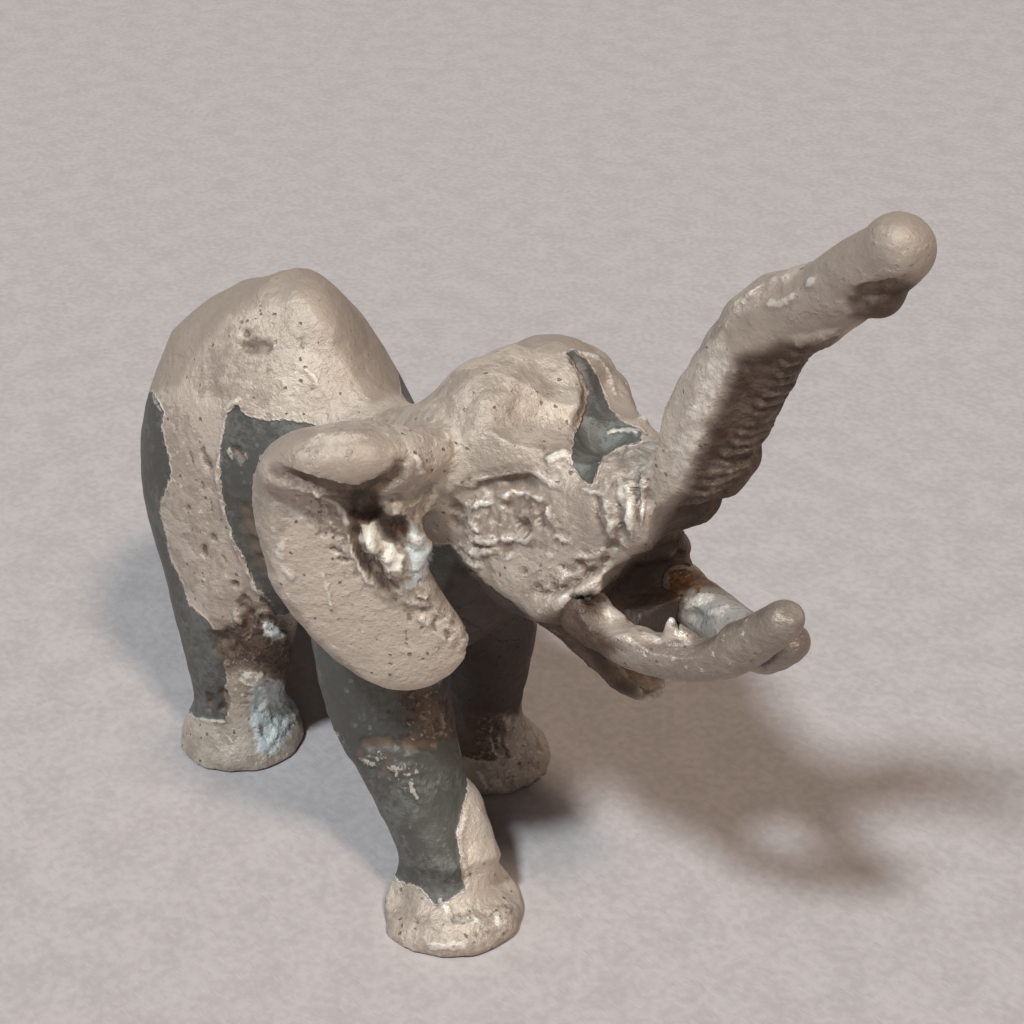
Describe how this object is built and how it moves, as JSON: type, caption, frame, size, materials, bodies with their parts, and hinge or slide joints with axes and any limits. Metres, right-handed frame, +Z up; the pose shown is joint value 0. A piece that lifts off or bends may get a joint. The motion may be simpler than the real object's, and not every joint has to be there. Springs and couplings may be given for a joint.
{
  "type": "toy elephant figure",
  "caption": "Small cast metal elephant figure in a walking pose, with a raised ribbed trunk, short upturned tusks and standing ears with a rolled top edge.",
  "frame": {"origin": "bottom centre of the figure's box, on the plane that the soles stand on", "axes": "+X towards the head, +Y to the elephant's left, +Z up"},
  "size_m": [0.0642, 0.0296, 0.0565],
  "materials": {
    "bare_metal": "worn satin grey-beige casting metal with fine pits and patches of dark slate patina",
    "dark_metal": "the same casting metal under nearly black brown patina",
    "tusk_metal": "the same casting metal, rubbed smoother and paler"
  },
  "bodies": {
    "root": {"body": "bare_metal", "head": "bare_metal", "trunk": "bare_metal", "lower_jaw": "bare_metal", "right_ear": "bare_metal", "left_ear": "bare_metal", "right_tusk": "tusk_metal", "left_tusk": "tusk_metal", "front_right_leg": "bare_metal", "front_left_leg": "dark_metal", "rear_right_leg": "bare_metal", "rear_left_leg": "dark_metal", "tail": "bare_metal"}
  },
  "joints": []
}
